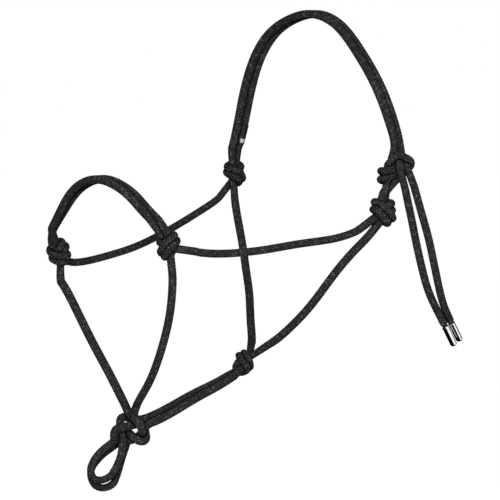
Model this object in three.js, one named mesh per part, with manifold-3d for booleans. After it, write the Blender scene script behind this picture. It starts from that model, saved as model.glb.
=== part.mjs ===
// A rope halter for a horse: one rope tied into a headstall, drawn as it sits on the head.
// Units are millimetres. +Z is up, the horse faces -Y, and its near (left) side is +X.
// The origin is where the underside of the crown rests on the poll.
//
// The rope is followed once, from one tail to the other. Its run is a list of stretches: free
// strands, whose points are given in the halter's frame, and passes through the knots, whose
// points are given in the knot's own frame. Each strand is then a solid of its own, and the
// passes through one knot are joined into one solid.
import * as THREE from 'three';
import * as BufferGeometryUtils from 'three/addons/utils/BufferGeometryUtils.js';
import Module from 'manifold-3d';

const wasm = await Module();
wasm.setup();

// Driving dimensions.
const ROPE = 6.4;                // rope diameter
const GAP = 0.3;                 // between pieces that meet
const SWING_GAP = 1.7;           // where a tail swings from the crown tie
const LOOP_GAP = 3.2;            // where a lead loop swings from the fiador knot
const STRAND_STEP = 14;          // length of one facet along a strand
const BEND_STEP = 5.5;           // the same, in knots and small loops
const SLEEVE_BORE = 7.1;         // label sleeve on the crown
const SLEEVE_WALL = 0.7;
const SLEEVE_LENGTH = 17;
const SLEEVE_TOP = 42;           // from the crown's off end to the sleeve's far edge
const FERRULE = 5.4;             // outer diameter of the metal tail ends
const FERRULE_WALL = 0.45;
const FERRULE_LENGTH = 18.5;
const FERRULE_CROWN = 0.8;       // height of the rounded closed end
const TIP_LENGTH = 12;           // rope squeezed into the ferrule
const TIP = FERRULE - 2 * (FERRULE_WALL + GAP);

const ROPE_COLOUR = 0x33343a;
const LABEL_COLOUR = 0x101012;
const METAL_COLOUR = 0xd8d8da;

// A knot's own frame faces forward and to the near side: across, up and out, in millimetres.
const FACING = THREE.MathUtils.degToRad(50);
const ACROSS = new THREE.Vector3(Math.cos(FACING), Math.sin(FACING), 0);
const UP = new THREE.Vector3(0, 0, 1);
const OUT = new THREE.Vector3(Math.sin(FACING), -Math.cos(FACING), 0);

function fromKnot(centre, across, up, out) {
  const point = new THREE.Vector3(...centre);
  point.addScaledVector(ACROSS, across);
  point.addScaledVector(UP, up);
  point.addScaledVector(OUT, out);
  return point.toArray();
}

// The overhand knot tied in a doubled rope, entered from above by the pair. Each row is a point
// midway between the two ropes, and the way from there to the first rope, in rope diameters.
const OVERHAND = [
  [[0.15, 1.55, -0.15], [0.5, 0.0, 0.0]],
  [[0.35, 0.6, -0.5], [0.5, 0.05, 0.0]],
  [[0.75, -0.3, -0.65], [0.45, 0.2, 0.0]],
  [[1.05, -0.95, -0.1], [0.4, 0.3, 0.0]],
  [[0.55, -0.75, 0.85], [0.32, 0.38, 0.0]],
  [[-0.35, -0.1, 1.15], [0.3, 0.4, 0.0]],
  [[-1.1, 0.35, 0.75], [0.25, 0.43, 0.0]],
  [[-1.4, 0.6, 0.0], [0.15, 0.47, 0.0]],
  [[-0.9, 0.75, -0.95], [0.1, 0.49, 0.0]],
  [[0.0, 0.7, -1.3], [0.0, 0.5, 0.0]],
  [[0.95, 0.5, -0.95], [0.0, 0.5, 0.0]],
  [[1.4, 0.3, -0.1], [0.0, 0.5, 0.1]],
  [[1.0, 0.0, 0.45], [-0.2, 0.45, 0.1]],
  [[0.1, -0.65, 0.3], [-0.32, 0.38, 0.0]],
  [[-0.75, -1.35, 0.05], [-0.34, 0.36, 0.0]],
];

// One of the two ropes of an overhand knot. side is 1 for the first rope and -1 for the second,
// turn is the knot's turn in its own plane, and mirror is -1 for a knot tied the other way.
function overhandPass(knot, side) {
  const angle = THREE.MathUtils.degToRad(knot.turn);
  return OVERHAND.map(([middle, toFirst]) => {
    const [x, y, out] = middle.map((value, axis) => (value + side * toFirst[axis]) * ROPE);
    const across = x * knot.mirror;
    const turned = [across * Math.cos(angle) - y * Math.sin(angle), across * Math.sin(angle) + y * Math.cos(angle)];
    return fromKnot(knot.centre, ...turned, out);
  });
}

const NEAR_CHEEK_KNOT = { centre: [92, -5, -153], turn: 0, mirror: 1 };
const OFF_CHEEK_KNOT = { centre: [-92, -3, -131], turn: 0, mirror: 1 };
const NEAR_NOSE_KNOT = { centre: [68, -197, -170], turn: 25, mirror: -1 };
const OFF_NOSE_KNOT = { centre: [-68, -202, -184], turn: -30, mirror: -1 };
const THROAT_KNOT = { centre: [0, -69, -276], turn: 125, mirror: 1 };
const FIADOR_CENTRE = [0, -182, -320];
const TIE_CENTRE = [97, 5, -120];

// Passes through the fiador knot, under the chin, in its own frame.
const fiadorPass = (points) => points.map((point) => fromKnot(FIADOR_CENTRE, ...point));
const FIADOR_OFF_CHIN = fiadorPass([
  [-1, 12, -3], [4, 7, -5], [3.5, 5, 2], [-2, 3.5, 7], [-9, 1.5, 8], [-13.5, -1, 6], [-13, -5, 8],
]);
const FIADOR_NEAR_CHIN = fiadorPass([
  [2.5, 12, 6], [6.5, 7, 8], [9, 1, 6], [6.5, -4.5, 1], [0, -6, -3], [-8, -8, -2],
]);
const FIADOR_OFF_LASH = fiadorPass([
  [8, 7.5, -9], [0, 10, -9], [-6, 11.5, -4], [-9, 8.5, 2], [-8.5, 3, 2], [-8, -4, 4],
]);
const FIADOR_NEAR_LASH = fiadorPass([
  [12.5, 2.5, -9], [13, -3, -4], [12, -8, 2], [7, -8.5, 6], [1.5, -4, 5], [-2.5, -0.5, 1],
  [-3, -3, -4], [-3.5, -9, -5],
]);

// The crown's two strands pass through the tie loop, wrap its neck and come out as the tails.
const tiePass = (points) => points.map((point) => fromKnot(TIE_CENTRE, ...point));
const TIE_FRONT = tiePass([
  [2, 13, -4], [3.5, 6, -5], [1.5, 1.5, 1], [-4, 1, 5], [-9, 0.5, 3], [-11, -1.5, -4],
  [-6, -4, -9.5], [1, -4, -11], [6.5, 0, -9], [7.5, 5.5, -5], [6, 8, 0], [5, 5, 6], [5.5, -3, 8.5],
]);
const TIE_REAR = tiePass([
  [6, 13, -10], [7.5, 6, -9], [5, -2.5, -3], [0, -5.5, 3], [-6, -6, 4.5], [-11.5, -7, 1],
  [-11, -9.5, -6], [-5, -10, -11], [3, -8, -14], [9.5, -2, -14], [12, 4.5, -9], [11, 8.5, -2],
  [11, 4, 4], [13, -3, 6],
]);

// The free strands, each from one knot to the next, as points in the halter's frame.
const TAIL_FRONT = [
  [103, 10.5, -133], [103, 13, -143], [103, 19, -161], [103, 23, -175], [103, 28, -189],
  [103, 32, -203], [103, 37, -218], [103, 44, -231], [103, 53, -246],
];
const TAIL_REAR = [
  [111, 13, -128], [111, 16, -137], [111, 19, -146], [111, 24, -162], [111, 30, -178],
  [111, 35, -194], [111, 40, -210], [111, 47, -227], [111, 56, -242],
];
const CROWN_FRONT = [
  [-89, -6, -114], [-84, -6, -93], [-77, -6, -65], [-64, -5, -36], [-47, -5, -15], [-32, -4, -6],
  [-14, -4, 0], [4, -3, 3], [21, -2, 0], [37, -1, -8], [57, 2, -30], [74, 5, -54], [87, 7, -80],
  [95, 8, -101],
];
const CROWN_REAR = [
  [-89, 2, -114], [-84, 2, -93], [-77, 2, -65], [-64, 3, -36], [-47, 3, -15], [-32, 3, -6],
  [-14, 3, 0], [4, 4, 3], [21, 5, 0], [36, 6, -8], [56, 9, -30], [73, 12, -54], [86, 14, -80],
  [93, 15, -101],
];
const OFF_CHEEK = [
  [-92, -13, -145], [-90, -24, -151], [-87, -37, -156], [-85, -64, -168], [-81, -92, -178],
  [-78, -119, -186], [-75, -148, -191], [-71, -172, -194], [-68, -186, -193],
];
const NEAR_CHEEK = [
  [89, -20, -162], [87, -42, -170], [82, -81, -175], [77, -120, -178], [73, -156, -178],
  [70, -174, -176], [69, -182, -174],
];
const OFF_THROAT = [
  [-88, -9, -147], [-85, -8, -161], [-82, -7, -173], [-78, -7, -184], [-72, -9, -197], [-64, -13, -211],
  [-54, -18, -226], [-44, -26, -240], [-30, -38, -253], [-17, -49, -264], [-9, -58, -268],
];
const NEAR_THROAT = [
  [89, -13, -168], [87, -21, -176], [83, -29, -186], [76, -34, -197], [69, -40, -209],
  [60, -44, -222], [49, -49, -235], [37, -54, -248], [23, -57, -260], [13, -61, -267],
];
const OFF_CHIN = [
  [-68, -202, -200], [-59, -200, -212], [-46, -196, -234], [-33, -192, -256], [-19, -188, -277],
  [-10, -186, -291], [-5, -184, -300],
];
const NEAR_CHIN = [
  [70, -199, -186], [69, -198, -200], [62, -195, -224], [50, -193, -251], [31, -189, -278],
  [17, -187, -293], [9, -185, -302],
];
const NOSEBAND = [
  [-70, -205, -168], [-63, -206, -160], [-54, -207, -152], [-44, -209, -143], [-32, -211, -134],
  [-19, -213, -128], [-5, -215, -124], [12, -214, -123], [24, -212, -128], [35, -209, -134],
  [44, -208, -141], [52, -206, -148], [60, -203, -155],
];
const THROAT_LASH = [
  [0, -83, -282], [0, -99, -290], [0, -114, -295], [0, -127, -300], [0, -141, -306], [0, -155, -311],
  [0, -163, -313],
];
const TIE_LOOP = tiePass([
  [-7, -22, -5], [-3.4, -15.5, -6], [1.5, -9, -6.5], [7, -3, -7], [12.5, 2.5, -4], [14, 7.5, 0],
  [11, 11.5, 3.5], [5, 12.5, 5], [-0.5, 11, 5], [-4.5, 6.5, 2], [-6.5, 0, -1.5], [-6.5, -8, -2],
  [-7.5, -15, -1], [-9.5, -22, 0],
]);
const LEAD_LOOP_NEAR = [
  [4, -203, -326], [4, -213, -331], [4, -220, -337], [4, -224, -345], [4, -221, -352], [4, -213, -354],
  [4, -204, -351], [4, -198, -343], [4, -194, -335],
];
const LEAD_LOOP_OFF = [
  [-4, -199, -332], [-4, -211, -339], [-4, -218, -348], [-4, -215, -358], [-4, -207, -362],
  [-4, -197, -360], [-4, -191, -350], [-4, -188, -339],
];

const beside = (points, [x, y, z]) => points.map((point) => [point[0] + x, point[1] + y, point[2] + z]);
const reversed = (points) => [...points].reverse();
const PAIR_OFFSET = ROPE / 2 + 0.25;          // from the middle of a pair to either strand
const LASH_OFFSET = [3, 0, -1.6];             // the same in the throat lash, whose pair is tilted

// The whole run, from the front tail to the rear one. A row is the piece and its points.
const RUN = [
  ['tail_front', reversed(TAIL_FRONT)],
  ['crown_tie', reversed(TIE_FRONT)],
  ['crown_strand_front', reversed(CROWN_FRONT)],
  ['off_cheek_knot', overhandPass(OFF_CHEEK_KNOT, -1)],
  ['off_cheek_strand', OFF_CHEEK],
  ['off_nose_knot', reversed(overhandPass(OFF_NOSE_KNOT, 1))],
  ['noseband_front', beside(NOSEBAND, [0, -PAIR_OFFSET, 0])],
  ['near_nose_knot', overhandPass(NEAR_NOSE_KNOT, 1)],
  ['near_cheek_strand', reversed(NEAR_CHEEK)],
  ['near_cheek_knot', reversed(overhandPass(NEAR_CHEEK_KNOT, 1))],
  ['tie_loop', TIE_LOOP],
  ['near_cheek_knot', overhandPass(NEAR_CHEEK_KNOT, -1)],
  ['near_throat_strand', NEAR_THROAT],
  ['throat_knot', reversed(overhandPass(THROAT_KNOT, 1))],
  ['throat_lash_off', beside(THROAT_LASH, LASH_OFFSET.map((value) => -value))],
  ['fiador_knot', FIADOR_OFF_LASH],
  ['lead_loop_near', reversed(LEAD_LOOP_NEAR)],
  ['fiador_knot', reversed(FIADOR_OFF_CHIN)],
  ['off_chin_strand', reversed(OFF_CHIN)],
  ['off_nose_knot', reversed(overhandPass(OFF_NOSE_KNOT, -1))],
  ['noseband_rear', beside(NOSEBAND, [0, PAIR_OFFSET, 0])],
  ['near_nose_knot', overhandPass(NEAR_NOSE_KNOT, -1)],
  ['near_chin_strand', NEAR_CHIN],
  ['fiador_knot', FIADOR_NEAR_CHIN],
  ['lead_loop_off', LEAD_LOOP_OFF],
  ['fiador_knot', reversed(FIADOR_NEAR_LASH)],
  ['throat_lash_near', reversed(beside(THROAT_LASH, LASH_OFFSET))],
  ['throat_knot', overhandPass(THROAT_KNOT, -1)],
  ['off_throat_strand', reversed(OFF_THROAT)],
  ['off_cheek_knot', reversed(overhandPass(OFF_CHEEK_KNOT, 1))],
  ['crown_strand_rear', CROWN_REAR],
  ['crown_tie', TIE_REAR],
  ['tail_rear', TAIL_REAR],
];
const KNOTS = ['crown_tie', 'off_cheek_knot', 'off_nose_knot', 'near_nose_knot', 'near_cheek_knot', 'throat_knot', 'fiador_knot'];

const CENTRELINE = new THREE.CatmullRomCurve3(
  RUN.flatMap(([, points]) => points.map((point) => new THREE.Vector3(...point))),
  false,
  'centripetal',
);
const LAST_POINT = CENTRELINE.points.length - 1;

// A part of the centreline between two of its points, trimmed at each end by a length.
class Stretch extends THREE.Curve {
  constructor(first, last, trimStart, trimEnd) {
    super();
    this.start = Stretch.past(first, trimStart);
    this.end = Stretch.past(last, -trimEnd);
  }

  // The curve's parameter a given length beyond one of its points.
  static past(index, length) {
    const nudge = 0.01;
    const here = index / LAST_POINT;
    const ahead = here + (Math.sign(length) * nudge) / LAST_POINT;
    const travelled = CENTRELINE.getPoint(here).distanceTo(CENTRELINE.getPoint(ahead));
    return travelled === 0 ? here : here + ((ahead - here) * Math.abs(length)) / travelled;
  }

  getPoint(share, target = new THREE.Vector3()) {
    return CENTRELINE.getPoint(this.start + (this.end - this.start) * share, target);
  }
}

// A regular section with flats across and along the rope's bend.
function roundSection(diameter, sides) {
  const section = new THREE.Shape();
  const corner = diameter / 2;
  for (let side = 0; side < sides; side += 1) {
    const angle = ((side + 0.5) * 2 * Math.PI) / sides;
    const move = side === 0 ? 'moveTo' : 'lineTo';
    section[move](corner * Math.cos(angle), corner * Math.sin(angle));
  }
  section.closePath();
  return section;
}

function sweep(section, path, step) {
  const steps = Math.max(2, Math.round(path.getLength() / step));
  return new THREE.ExtrudeGeometry(section, { steps, bevelEnabled: false, extrudePath: path });
}

function toSolid(geometry) {
  const bare = geometry.clone();
  bare.deleteAttribute('normal');
  bare.deleteAttribute('uv');
  const merged = BufferGeometryUtils.mergeVertices(bare, 1e-4);
  return new wasm.Manifold(new wasm.Mesh({
    numProp: 3,
    vertProperties: new Float32Array(merged.attributes.position.array),
    triVerts: new Uint32Array(merged.index.array),
  }));
}

function toGeometry(solid) {
  const { vertProperties, triVerts } = solid.getMesh();
  const geometry = new THREE.BufferGeometry();
  geometry.setAttribute('position', new THREE.BufferAttribute(vertProperties, 3));
  geometry.setIndex(new THREE.BufferAttribute(triVerts, 1));
  return geometry;
}

// How far a rope stops short of its neighbour at a boundary between two pieces.
function endGap(name, neighbour) {
  const pair = [name, neighbour].join(' ');
  if (pair.includes('lead_loop')) return LOOP_GAP / 2;
  if (pair.includes('tail')) return SWING_GAP / 2;
  return GAP / 2;
}

// A knot's passes run up to its neighbours' end points, so a pass spans one point more each way.
function passOfRun(row) {
  const counts = RUN.map(([, points]) => points.length);
  const first = counts.slice(0, row).reduce((sum, count) => sum + count, 0);
  const last = first + counts[row] - 1;
  const [name] = RUN[row];
  const reach = KNOTS.includes(name) ? 1 : 0;
  const before = row === 0 ? 0 : endGap(name, RUN[row - 1][0]);
  const after = row === RUN.length - 1 ? 0 : endGap(name, RUN[row + 1][0]);
  return new Stretch(first - reach, last + reach, before, after);
}

function rowsOf(name) {
  return RUN.map(([piece], row) => (piece === name ? row : -1)).filter((row) => row >= 0);
}

const halter = new THREE.Group();

function addPiece(name, geometry, colour, roughness, metalness) {
  const material = new THREE.MeshStandardMaterial({ color: colour, roughness, metalness });
  const mesh = new THREE.Mesh(geometry, material);
  mesh.name = name;
  halter.add(mesh);
  return mesh;
}

function addRope(name, geometry) {
  return addPiece(name, geometry, ROPE_COLOUR, 0.9, 0);
}

const ROPE_SECTION = roundSection(ROPE, 8);
const LOOPS = ['tie_loop', 'lead_loop_near', 'lead_loop_off'];

// Turns a solid of revolution so that its axis, Y, follows a direction, and moves it.
const LATHE_AXIS = new THREE.Vector3(0, 1, 0);
function placeAlong(geometry, point, direction) {
  const turn = new THREE.Quaternion().setFromUnitVectors(LATHE_AXIS, direction);
  return geometry.applyQuaternion(turn).translate(point.x, point.y, point.z);
}

// A tail is a strand with its end squeezed thin, to go into the ferrule.
function tailSolid(path, endShare) {
  const outward = path.getTangent(endShare).multiplyScalar(endShare === 1 ? 1 : -1);
  const root = path.getPoint(endShare).addScaledVector(outward, -1);
  const tip = placeAlong(
    new THREE.LatheGeometry([
      new THREE.Vector2(0, 0),
      new THREE.Vector2(TIP / 2, 0),
      new THREE.Vector2(TIP / 2, TIP_LENGTH + 1),
      new THREE.Vector2(0, TIP_LENGTH + 1),
    ], 10),
    root,
    outward,
  );
  return toSolid(sweep(ROPE_SECTION, path, STRAND_STEP)).add(toSolid(tip));
}

// The metal cup on the end of a tail, open towards the rope.
function ferruleGeometry(path, endShare) {
  const outward = path.getTangent(endShare).multiplyScalar(endShare === 1 ? 1 : -1);
  const mouth = path.getPoint(endShare).addScaledVector(outward, GAP);
  const outer = FERRULE / 2;
  const inner = outer - FERRULE_WALL;
  const floor = TIP_LENGTH + GAP;
  return placeAlong(
    new THREE.LatheGeometry([
      new THREE.Vector2(0, floor),
      new THREE.Vector2(inner, floor),
      new THREE.Vector2(inner, 0),
      new THREE.Vector2(outer, 0),
      new THREE.Vector2(outer, FERRULE_LENGTH - FERRULE_CROWN),
      new THREE.Vector2(outer - FERRULE_CROWN, FERRULE_LENGTH),
      new THREE.Vector2(0, FERRULE_LENGTH),
    ], 16),
    mouth,
    outward,
  );
}

for (const [row, endShare, side] of [[0, 0, 'front'], [RUN.length - 1, 1, 'rear']]) {
  const path = passOfRun(row);
  addRope(`tail_${side}`, toGeometry(tailSolid(path, endShare)));
  addPiece(`ferrule_${side}`, ferruleGeometry(path, endShare), METAL_COLOUR, 0.15, 1);
}

const strandRows = RUN.map((_, row) => row).filter((row) => {
  const [name] = RUN[row];
  return !KNOTS.includes(name) && !name.startsWith('tail');
});
for (const row of strandRows) {
  const [name] = RUN[row];
  const step = LOOPS.includes(name) ? BEND_STEP : STRAND_STEP;
  addRope(name, sweep(ROPE_SECTION, passOfRun(row), step));
}

// A strand grown by the gap, which the knots it runs into leave room for.
function clearanceOf(name) {
  const section = roundSection(ROPE + 2 * GAP, 8);
  return toSolid(sweep(section, passOfRun(rowsOf(name)[0]), BEND_STEP));
}

const HELD = { crown_tie: ['tie_loop'] };     // a strand that a knot is tied around
function neighboursOf(name) {
  const beyond = rowsOf(name).flatMap((row) => [RUN[row - 1][0], RUN[row + 1][0]]);
  return [...new Set(beyond.concat(HELD[name] ?? []))];
}

// A knot is its passes joined, less the room for the strands that it holds.
function knotSolid(name) {
  const passes = rowsOf(name).map((row) => toSolid(sweep(ROPE_SECTION, passOfRun(row), BEND_STEP)));
  const joined = passes.reduce((whole, pass) => whole.add(pass));
  return neighboursOf(name).reduce((rest, strand) => rest.subtract(clearanceOf(strand)), joined);
}

for (const name of KNOTS) addRope(name, toGeometry(knotSolid(name)));

// The label sleeve slides on the crown's rear strand, above the off cheek knot.
function sleeveGeometry() {
  const path = passOfRun(rowsOf('crown_strand_rear')[0]);
  const whole = path.getLength();
  const section = roundSection(SLEEVE_BORE + 2 * SLEEVE_WALL, 12);
  section.holes.push(roundSection(SLEEVE_BORE, 12));
  const along = new THREE.CatmullRomCurve3(
    [0, 0.5, 1].map((share) => path.getPointAt((SLEEVE_TOP - SLEEVE_LENGTH * share) / whole)),
  );
  return sweep(section, along, SLEEVE_LENGTH / 3);
}

addPiece('crown_label_sleeve', sleeveGeometry(), LABEL_COLOUR, 0.4, 0);

export default halter;
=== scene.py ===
# A rope halter for a horse: one braided rope tied into a headstall, drawn as it sits on the head.
# +Z is up, the horse faces -Y, and its near (left) side is +X. The origin is under the crown.
#
# The rope is followed once, from one tail to the other. Its knots are pulled snug by a small
# simulation. The whole length is covered with one braid, which is cut into strands and knots.
import math

import bpy
import numpy as np
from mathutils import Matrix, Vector
from mathutils.kdtree import KDTree


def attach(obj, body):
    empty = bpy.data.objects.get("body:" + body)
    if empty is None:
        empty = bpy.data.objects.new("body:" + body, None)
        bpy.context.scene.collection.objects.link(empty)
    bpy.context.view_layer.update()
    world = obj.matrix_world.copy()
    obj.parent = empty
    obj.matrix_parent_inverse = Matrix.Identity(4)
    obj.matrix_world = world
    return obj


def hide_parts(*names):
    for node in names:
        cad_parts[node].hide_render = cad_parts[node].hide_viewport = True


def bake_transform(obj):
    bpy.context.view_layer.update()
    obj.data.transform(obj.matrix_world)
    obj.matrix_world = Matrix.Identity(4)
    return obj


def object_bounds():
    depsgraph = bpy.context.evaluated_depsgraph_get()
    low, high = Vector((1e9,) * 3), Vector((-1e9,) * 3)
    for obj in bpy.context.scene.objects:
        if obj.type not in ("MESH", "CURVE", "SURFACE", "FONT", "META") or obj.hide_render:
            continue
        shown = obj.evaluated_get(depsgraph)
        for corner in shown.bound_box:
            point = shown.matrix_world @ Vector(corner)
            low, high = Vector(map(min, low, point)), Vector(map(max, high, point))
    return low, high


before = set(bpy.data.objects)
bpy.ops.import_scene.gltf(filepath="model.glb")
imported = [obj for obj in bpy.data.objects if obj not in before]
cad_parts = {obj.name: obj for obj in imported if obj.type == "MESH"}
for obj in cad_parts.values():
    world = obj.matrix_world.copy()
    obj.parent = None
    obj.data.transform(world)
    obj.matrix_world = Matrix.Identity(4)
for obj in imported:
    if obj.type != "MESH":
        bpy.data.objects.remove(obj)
cad_low, cad_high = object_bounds()

MM = 0.001

# ---------------- camera
VIEW_CENTRE = Vector((0, -62, -186)) * MM
VIEW_DISTANCE = 2.0  # metres
VIEW_AZIMUTH = math.radians(50)
VIEW_ELEVATION = math.radians(5)
LENS = 180
SENSOR = 36


def away(azimuth, elevation):
    """The direction from the object towards a viewer at that azimuth and elevation."""
    flat = math.cos(elevation)
    return Vector((math.sin(azimuth) * flat, -math.cos(azimuth) * flat, math.sin(elevation)))


def aimed(obj, place, target):
    """Puts a camera or a light at place, looking at target."""
    obj.location = place
    obj.rotation_mode = "QUATERNION"
    obj.rotation_quaternion = (target - place).to_track_quat("-Z", "Y")
    bpy.context.scene.collection.objects.link(obj)
    return obj


def make_camera():
    """Sees the halter from the front and its near side, as in the photograph."""
    data = bpy.data.cameras.new("camera")
    data.lens = LENS
    data.sensor_width = SENSOR
    place = VIEW_CENTRE + away(VIEW_AZIMUTH, VIEW_ELEVATION) * VIEW_DISTANCE
    camera = aimed(bpy.data.objects.new("camera", data), place, VIEW_CENTRE)
    bpy.context.scene.camera = camera


make_camera()

# ---------------- the rope's run
# Points are in millimetres here and become metres in RUN. They follow the CAD model's points, and
# stay within a few millimetres of them.
ROPE = 6.4  # the rope's diameter, in millimetres

# A knot's own frame faces forward and to the near side: across, up and out.
FACING = math.radians(50)
ACROSS = np.array((math.cos(FACING), math.sin(FACING), 0))
UP = np.array((0, 0, 1))
OUT = np.array((math.sin(FACING), -math.cos(FACING), 0))


def from_knot(centre, points):
    """Turns points given as (across, up, out) from a knot's centre into places."""
    across, up, out = np.array(points, float).T[:, :, None]
    return np.array(centre, float) + across * ACROSS + up * UP + out * OUT


# The overhand knot tied in a doubled rope, entered from above by the pair. Each row is a point
# midway between the two ropes, and the way from there to the first rope, in rope diameters.
OVERHAND = [
    ((0.15, 1.55, -0.15), (0.5, 0, 0)),
    ((0.35, 0.6, -0.5), (0.5, 0.05, 0)),
    ((0.75, -0.3, -0.65), (0.45, 0.2, 0)),
    ((1.05, -0.95, -0.1), (0.4, 0.3, 0)),
    ((0.55, -0.75, 0.85), (0.32, 0.38, 0)),
    ((-0.35, -0.1, 1.15), (0.3, 0.4, 0)),
    ((-1.1, 0.35, 0.75), (0.25, 0.43, 0)),
    ((-1.4, 0.6, 0), (0.15, 0.47, 0)),
    ((-0.9, 0.75, -0.95), (0.1, 0.49, 0)),
    ((0, 0.7, -1.3), (0, 0.5, 0)),
    ((0.95, 0.5, -0.95), (0, 0.5, 0)),
    ((1.4, 0.3, -0.1), (0, 0.5, 0.1)),
    ((1.0, 0, 0.45), (-0.2, 0.45, 0.1)),
    ((0.1, -0.65, 0.3), (-0.32, 0.38, 0)),
    ((-0.75, -1.35, 0.05), (-0.34, 0.36, 0)),
]


def overhand_pass(knot, side):
    """One of the two ropes of an overhand knot: side is 1 for the first and -1 for the second."""
    centre, turn, spin, mirror = knot
    middle, to_first = (np.array(column) for column in zip(*OVERHAND))
    x, y, out = ((middle + side * to_first) * ROPE).T
    angle = math.radians(spin)
    x, out = x * math.cos(angle) + out * math.sin(angle), out * math.cos(angle) - x * math.sin(angle)
    x = x * mirror
    angle = math.radians(turn)
    across = x * math.cos(angle) - y * math.sin(angle)
    up = x * math.sin(angle) + y * math.cos(angle)
    return from_knot(centre, np.stack((across, up, out), axis=1))


# Each overhand knot's centre, its turn in its own plane, its spin about its own upright line,
# both in degrees, and -1 for one tied the other way round.
NEAR_CHEEK_KNOT = ((92, -5, -153), 55, 0, 1)
OFF_CHEEK_KNOT = ((-92, -3, -131), 12, 0, 1)
NEAR_NOSE_KNOT = ((68, -197, -170), -5, 50, -1)
OFF_NOSE_KNOT = ((-68, -202, -184), 64, 0, 1)
THROAT_KNOT = ((0, -69, -276), 178, 0, 1)
FIADOR_CENTRE = (0, -182, -320)
TIE_CENTRE = (96.3, 4.2, -118.8)

# Passes through the fiador knot, under the chin.
FIADOR_OFF_CHIN = from_knot(FIADOR_CENTRE, [
    (-1, 12, -3), (4, 8, -5), (3.5, 6, 2), (-2, 5, 7), (-8, 4, 8), (-12.5, 1, 6), (-12.5, -4, 8),
])
FIADOR_NEAR_CHIN = from_knot(FIADOR_CENTRE, [
    (2.5, 12, 6), (6.5, 7, 8), (9, 1, 6), (6.5, -4.5, 1), (0, -6, -3), (-8, -8, -2),
])
FIADOR_OFF_LASH = from_knot(FIADOR_CENTRE, [
    (8, 7.5, -9), (0, 8.5, -9), (-6, 10.5, -4), (-8.5, 8.5, 1), (-8, 2.5, 1), (-7, -4, 4),
])
FIADOR_NEAR_LASH = from_knot(FIADOR_CENTRE, [
    (10.5, 3, -9), (11, -2, -4), (10.5, -6, 2), (6, -6.5, 6), (1.5, -3, 5), (-2.5, -0.5, 1),
    (-3, -3, -4), (-3.5, -9, -5),
])

# The crown's two strands pass through the tie loop, wrap its neck and come out as the tails.
TIE_FRONT = from_knot(TIE_CENTRE, [
    (3, 13, -4), (4, 6, -5), (2, 0.5, 1), (-3.5, 0, 5), (-8.5, -0.5, 3), (-10.5, -2.5, -4),
    (-6, -5, -9.5), (1, -4.5, -11), (6, -0.5, -9), (7, 5.5, -5), (5.5, 8, 0), (4.5, 5, 6), (5, -3, 8.5),
])
TIE_REAR = from_knot(TIE_CENTRE, [
    (6, 13, -10), (7.5, 6, -9), (5, -3, -3), (0.5, -6.5, 3), (-5, -7, 4.5), (-10.3, -8, 1),
    (-10.5, -10.5, -6), (-4.5, -11, -11), (3, -9, -14), (8.5, -3, -14), (10.3, 4.5, -9), (9.3, 8.5, -2),
    (9.7, 4, 4), (11.2, -3, 6),
])
TIE_LOOP = from_knot(TIE_CENTRE, [
    (-5.5, -22, -5), (-2.5, -15.5, -6), (-0.5, -9, -7), (5.5, -3.5, -7.5), (11, 2, -4), (12, 7.5, 0),
    (9, 11.5, 3.5), (4, 12.5, 5), (-0.5, 11, 5), (-3.5, 6.5, 2), (-4.5, 0, -1.5), (-4.5, -8, -2),
    (-5, -15, -1), (-8, -22, 0),
])

# The free strands, each from one knot to the next.
TAIL_FRONT = [
    (103, 10.5, -133), (103, 13, -143), (103, 18.5, -161), (103, 22, -175), (103, 26, -188),
    (103, 30.5, -202), (103.5, 35.5, -217), (104.3, 40, -226), (105.4, 46.3, -236), (106.2, 52, -246),
]
TAIL_REAR = [
    (109, 13, -128), (109, 16.5, -137), (109, 20, -146), (109.5, 25.5, -162), (110, 30, -174),
    (110, 33.8, -188), (110, 38, -202), (110, 42.2, -217), (109, 46.8, -228),
    (107.6, 51.5, -234.3), (107.1, 58.2, -243.8),
]
CROWN_FRONT = [
    (-87.3, -3.2, -114), (-81.3, -2.8, -93), (-75.4, -4, -65), (-64, -5, -36), (-47, -5, -15),
    (-32, -4, -6), (-14, -4, 0), (4, -3, 3), (21, -2, 0), (37, -1, -8), (57, 2, -30), (74, 5, -54),
    (87, 7, -80), (95, 8, -101),
]
CROWN_REAR = [
    (-83.3, 2.8, -114), (-78.3, 3.9, -93), (-74, 3.5, -65), (-64, 3, -36), (-47, 3, -15), (-32, 3, -6),
    (-14, 3, 0), (4, 4, 3), (21, 5, 0), (36, 6, -8), (56, 9, -30), (73, 12, -54), (86, 14, -80),
    (93, 15, -101),
]
OFF_CHEEK = [
    (-92, -13, -145), (-90, -24, -151), (-87, -37, -156), (-85, -64, -168), (-81, -92, -178),
    (-78, -119, -186), (-75, -148, -191), (-71, -172, -194), (-68, -186, -193),
]
NEAR_CHEEK = [
    (88.5, -21, -164.8), (87, -43, -170.8), (82, -81, -174.2), (77, -120, -178), (73, -156, -178),
    (70, -174, -176), (69, -182, -174),
]
OFF_THROAT = [
    (-88, -9, -147), (-85, -8, -161), (-82, -7, -173), (-78, -7, -184), (-72, -9, -197),
    (-64, -13, -211), (-54, -18, -226), (-44, -26, -240), (-30, -38, -253), (-17, -49, -264),
    (-9, -58, -268),
]
NEAR_THROAT = [
    (88.3, -15, -168), (85.6, -23.4, -176), (81.2, -31.5, -186), (74.6, -36.2, -197),
    (68, -41.2, -209), (59.6, -44.5, -222), (49, -49, -236.2), (37, -54, -250), (23, -57, -262.8),
    (13, -61, -269.8),
]
OFF_CHIN = [
    (-68, -202, -200), (-59, -200, -212), (-46, -196, -234), (-33, -192, -256), (-19, -188, -277),
    (-10, -186, -291), (-5, -184, -300),
]
NEAR_CHIN = [
    (71.3, -197.4, -186), (70.6, -196.2, -200), (63.3, -193.5, -224), (51, -192, -251),
    (31.6, -188.4, -278), (17, -187, -293), (9, -185, -302),
]
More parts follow.
